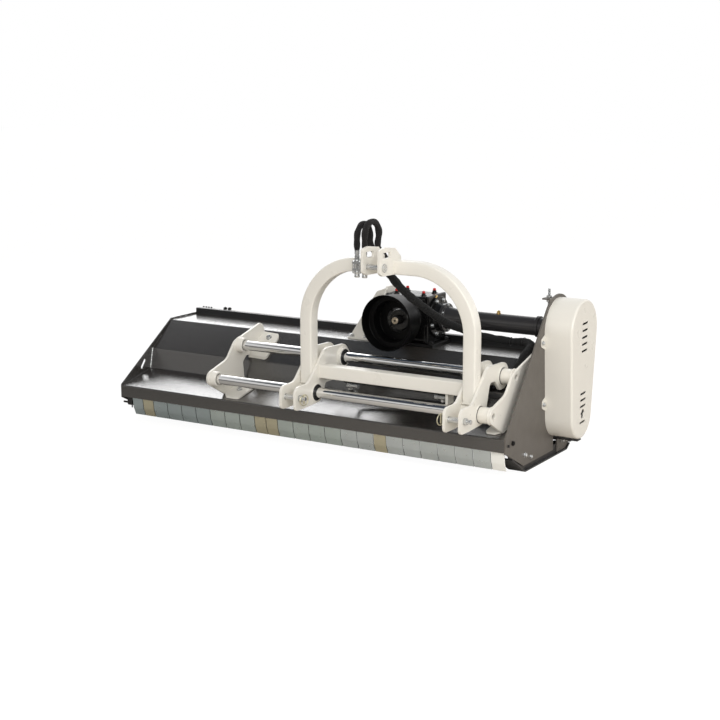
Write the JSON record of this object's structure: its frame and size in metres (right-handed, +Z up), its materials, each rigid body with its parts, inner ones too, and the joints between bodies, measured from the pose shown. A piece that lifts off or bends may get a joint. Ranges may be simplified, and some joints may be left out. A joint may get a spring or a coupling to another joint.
{
  "type": "tractor mulcher",
  "caption": "Side-shift flail mulcher for a three-point hitch: folded hood, shafted rotor, belt drive, gearbox, mast arch, sliding carriage, hanging flaps, skids and rear roller.",
  "frame": {"origin": "on the ground, under the middle of the machine's bounding box without its free hoses", "axes": "+X to the right as seen from the tractor, towards the belt cover; +Y away from the tractor; +Z up"},
  "size_m": [1.881, 0.9146, 0.907],
  "materials": {
    "cream_paint": "glossy off-white powder coat",
    "dark_grey_paint": "semi-gloss dark grey powder coat",
    "taupe_paint": "semi-gloss warm grey powder coat",
    "black_paint": "semi-gloss black paint",
    "chrome": "hard chrome, polished",
    "steel": "machined, lightly oiled",
    "zinc": "clear zinc plate, satin",
    "yellow_zinc": "yellow zinc plate, satin",
    "black_plastic": "moulded, low sheen",
    "rubber": "dull black rubber",
    "hose_textile": "woven sleeve, dull"
  },
  "bodies": {
    "hood": {"belt_cover": "cream_paint", "cylinder_barrel": "black_paint", "cylinder_hoses": "rubber", "drive_belt": "rubber", "drive_shaft_tube": "black_paint", "flap_hinge_rod": "zinc", "gearbox_housing": "black_paint", "gearbox_pedestal": "cream_paint", "hood_sheet": "dark_grey_paint", "hose_sleeve": "hose_textile", "left_roller_arm": "dark_grey_paint", "left_side_plate": "dark_grey_paint", "left_skid": "black_paint", "left_slide_bracket": "cream_paint", "lower_slide_rod": "chrome", "pto_shield": "black_plastic", "right_roller_arm": "dark_grey_paint", "right_side_plate": "taupe_paint", "right_skid": "black_paint", "right_slide_bracket": "cream_paint", "upper_slide_rod": "chrome"},
    "carriage": {"left_hitch_clevis": "cream_paint", "right_hitch_clevis": "cream_paint", "mast_arch": "cream_paint", "cross_tube": "cream_paint", "left_hitch_pin": "zinc", "right_hitch_pin": "zinc", "top_link_pin": "zinc", "cylinder_rod": "chrome", "hose_loops": "rubber"},
    "rotor": {"rotor": "black_paint", "rotor_pulley": "steel"},
    "drive_shaft": {"drive_shaft": "steel"},
    "pto_shaft": {"pto_input_shaft": "steel"},
    "rear_roller": {"rear_roller": "black_paint"},
    "flap_01": {"front_flap_01": "zinc"},
    "flap_02": {"front_flap_02": "yellow_zinc"},
    "flap_03": {"front_flap_03": "zinc"},
    "flap_04": {"front_flap_04": "zinc"},
    "flap_05": {"front_flap_05": "zinc"},
    "flap_06": {"front_flap_06": "zinc"},
    "flap_07": {"front_flap_07": "zinc"},
    "flap_08": {"front_flap_08": "zinc"},
    "flap_09": {"front_flap_09": "zinc"},
    "flap_10": {"front_flap_10": "yellow_zinc"},
    "flap_11": {"front_flap_11": "yellow_zinc"},
    "flap_12": {"front_flap_12": "zinc"},
    "flap_13": {"front_flap_13": "zinc"},
    "flap_14": {"front_flap_14": "zinc"},
    "flap_15": {"front_flap_15": "zinc"},
    "flap_16": {"front_flap_16": "zinc"},
    "flap_17": {"front_flap_17": "zinc"},
    "flap_18": {"front_flap_18": "yellow_zinc"},
    "flap_19": {"front_flap_19": "zinc"},
    "flap_20": {"front_flap_20": "zinc"},
    "flap_21": {"front_flap_21": "zinc"},
    "flap_22": {"front_flap_22": "zinc"},
    "flap_23": {"front_flap_23": "zinc"},
    "flap_24": {"front_flap_24": "zinc"},
    "flap_25": {"front_flap_25": "cream_paint"}
  },
  "joints": [
    {"name": "side_shift", "type": "slide", "parent": "hood", "child": "carriage", "axis": [1, 0, 0], "range_m": [-0.35, 0], "deforming": ["hose_sleeve"]},
    {"name": "rotor_spin", "type": "hinge", "parent": "hood", "child": "rotor", "pos_m": [-0.0475, 0.1437, 0.172], "axis": [1, 0, 0], "continuous": true},
    {"name": "drive_shaft_spin", "type": "hinge", "parent": "hood", "child": "drive_shaft", "pos_m": [-0.0475, 0.1497, 0.487], "axis": [1, 0, 0], "continuous": true},
    {"name": "pto_spin", "type": "hinge", "parent": "hood", "child": "pto_shaft", "pos_m": [0.2275, 0.0097, 0.487], "axis": [0, 1, 0], "continuous": true},
    {"name": "roller_spin", "type": "hinge", "parent": "hood", "child": "rear_roller", "pos_m": [-0.0475, 0.3777, 0.0703], "axis": [1, 0, 0], "continuous": true},
    {"name": "flap_01_swing", "type": "hinge", "parent": "hood", "child": "flap_01", "pos_m": [-0.0475, -0.2573, 0.128], "axis": [1, 0, 0], "range_deg": [-14, 20]},
    {"name": "flap_02_swing", "type": "hinge", "parent": "hood", "child": "flap_02", "pos_m": [-0.0475, -0.2573, 0.128], "axis": [1, 0, 0], "range_deg": [-14, 60]},
    {"name": "flap_03_swing", "type": "hinge", "parent": "hood", "child": "flap_03", "pos_m": [-0.0475, -0.2573, 0.128], "axis": [1, 0, 0], "range_deg": [-14, 60]},
    {"name": "flap_04_swing", "type": "hinge", "parent": "hood", "child": "flap_04", "pos_m": [-0.0475, -0.2573, 0.128], "axis": [1, 0, 0], "range_deg": [-14, 60]},
    {"name": "flap_05_swing", "type": "hinge", "parent": "hood", "child": "flap_05", "pos_m": [-0.0475, -0.2573, 0.128], "axis": [1, 0, 0], "range_deg": [-14, 60]},
    {"name": "flap_06_swing", "type": "hinge", "parent": "hood", "child": "flap_06", "pos_m": [-0.0475, -0.2573, 0.128], "axis": [1, 0, 0], "range_deg": [-14, 60]},
    {"name": "flap_07_swing", "type": "hinge", "parent": "hood", "child": "flap_07", "pos_m": [-0.0475, -0.2573, 0.128], "axis": [1, 0, 0], "range_deg": [-14, 60]},
    {"name": "flap_08_swing", "type": "hinge", "parent": "hood", "child": "flap_08", "pos_m": [-0.0475, -0.2573, 0.128], "axis": [1, 0, 0], "range_deg": [-14, 60]},
    {"name": "flap_09_swing", "type": "hinge", "parent": "hood", "child": "flap_09", "pos_m": [-0.0475, -0.2573, 0.128], "axis": [1, 0, 0], "range_deg": [-14, 60]},
    {"name": "flap_10_swing", "type": "hinge", "parent": "hood", "child": "flap_10", "pos_m": [-0.0475, -0.2573, 0.128], "axis": [1, 0, 0], "range_deg": [-14, 60]},
    {"name": "flap_11_swing", "type": "hinge", "parent": "hood", "child": "flap_11", "pos_m": [-0.0475, -0.2573, 0.128], "axis": [1, 0, 0], "range_deg": [-14, 60]},
    {"name": "flap_12_swing", "type": "hinge", "parent": "hood", "child": "flap_12", "pos_m": [-0.0475, -0.2573, 0.128], "axis": [1, 0, 0], "range_deg": [-14, 60]},
    {"name": "flap_13_swing", "type": "hinge", "parent": "hood", "child": "flap_13", "pos_m": [-0.0475, -0.2573, 0.128], "axis": [1, 0, 0], "range_deg": [-14, 60]},
    {"name": "flap_14_swing", "type": "hinge", "parent": "hood", "child": "flap_14", "pos_m": [-0.0475, -0.2573, 0.128], "axis": [1, 0, 0], "range_deg": [-14, 60]},
    {"name": "flap_15_swing", "type": "hinge", "parent": "hood", "child": "flap_15", "pos_m": [-0.0475, -0.2573, 0.128], "axis": [1, 0, 0], "range_deg": [-14, 60]},
    {"name": "flap_16_swing", "type": "hinge", "parent": "hood", "child": "flap_16", "pos_m": [-0.0475, -0.2573, 0.128], "axis": [1, 0, 0], "range_deg": [-14, 60]},
    {"name": "flap_17_swing", "type": "hinge", "parent": "hood", "child": "flap_17", "pos_m": [-0.0475, -0.2573, 0.128], "axis": [1, 0, 0], "range_deg": [-14, 60]},
    {"name": "flap_18_swing", "type": "hinge", "parent": "hood", "child": "flap_18", "pos_m": [-0.0475, -0.2573, 0.128], "axis": [1, 0, 0], "range_deg": [-14, 60]},
    {"name": "flap_19_swing", "type": "hinge", "parent": "hood", "child": "flap_19", "pos_m": [-0.0475, -0.2573, 0.128], "axis": [1, 0, 0], "range_deg": [-14, 60]},
    {"name": "flap_20_swing", "type": "hinge", "parent": "hood", "child": "flap_20", "pos_m": [-0.0475, -0.2573, 0.128], "axis": [1, 0, 0], "range_deg": [-14, 60]},
    {"name": "flap_21_swing", "type": "hinge", "parent": "hood", "child": "flap_21", "pos_m": [-0.0475, -0.2573, 0.128], "axis": [1, 0, 0], "range_deg": [-14, 60]},
    {"name": "flap_22_swing", "type": "hinge", "parent": "hood", "child": "flap_22", "pos_m": [-0.0475, -0.2573, 0.128], "axis": [1, 0, 0], "range_deg": [-14, 60]},
    {"name": "flap_23_swing", "type": "hinge", "parent": "hood", "child": "flap_23", "pos_m": [-0.0475, -0.2573, 0.128], "axis": [1, 0, 0], "range_deg": [-14, 60]},
    {"name": "flap_24_swing", "type": "hinge", "parent": "hood", "child": "flap_24", "pos_m": [-0.0475, -0.2573, 0.128], "axis": [1, 0, 0], "range_deg": [-14, 60]},
    {"name": "flap_25_swing", "type": "hinge", "parent": "hood", "child": "flap_25", "pos_m": [-0.0475, -0.2573, 0.128], "axis": [1, 0, 0], "range_deg": [-14, 20]}
  ],
  "couplings": [
    {"joint": "drive_shaft_spin", "follows": "rotor_spin", "ratio": 0.73913},
    {"joint": "pto_spin", "follows": "rotor_spin", "ratio": 0.24638}
  ]
}
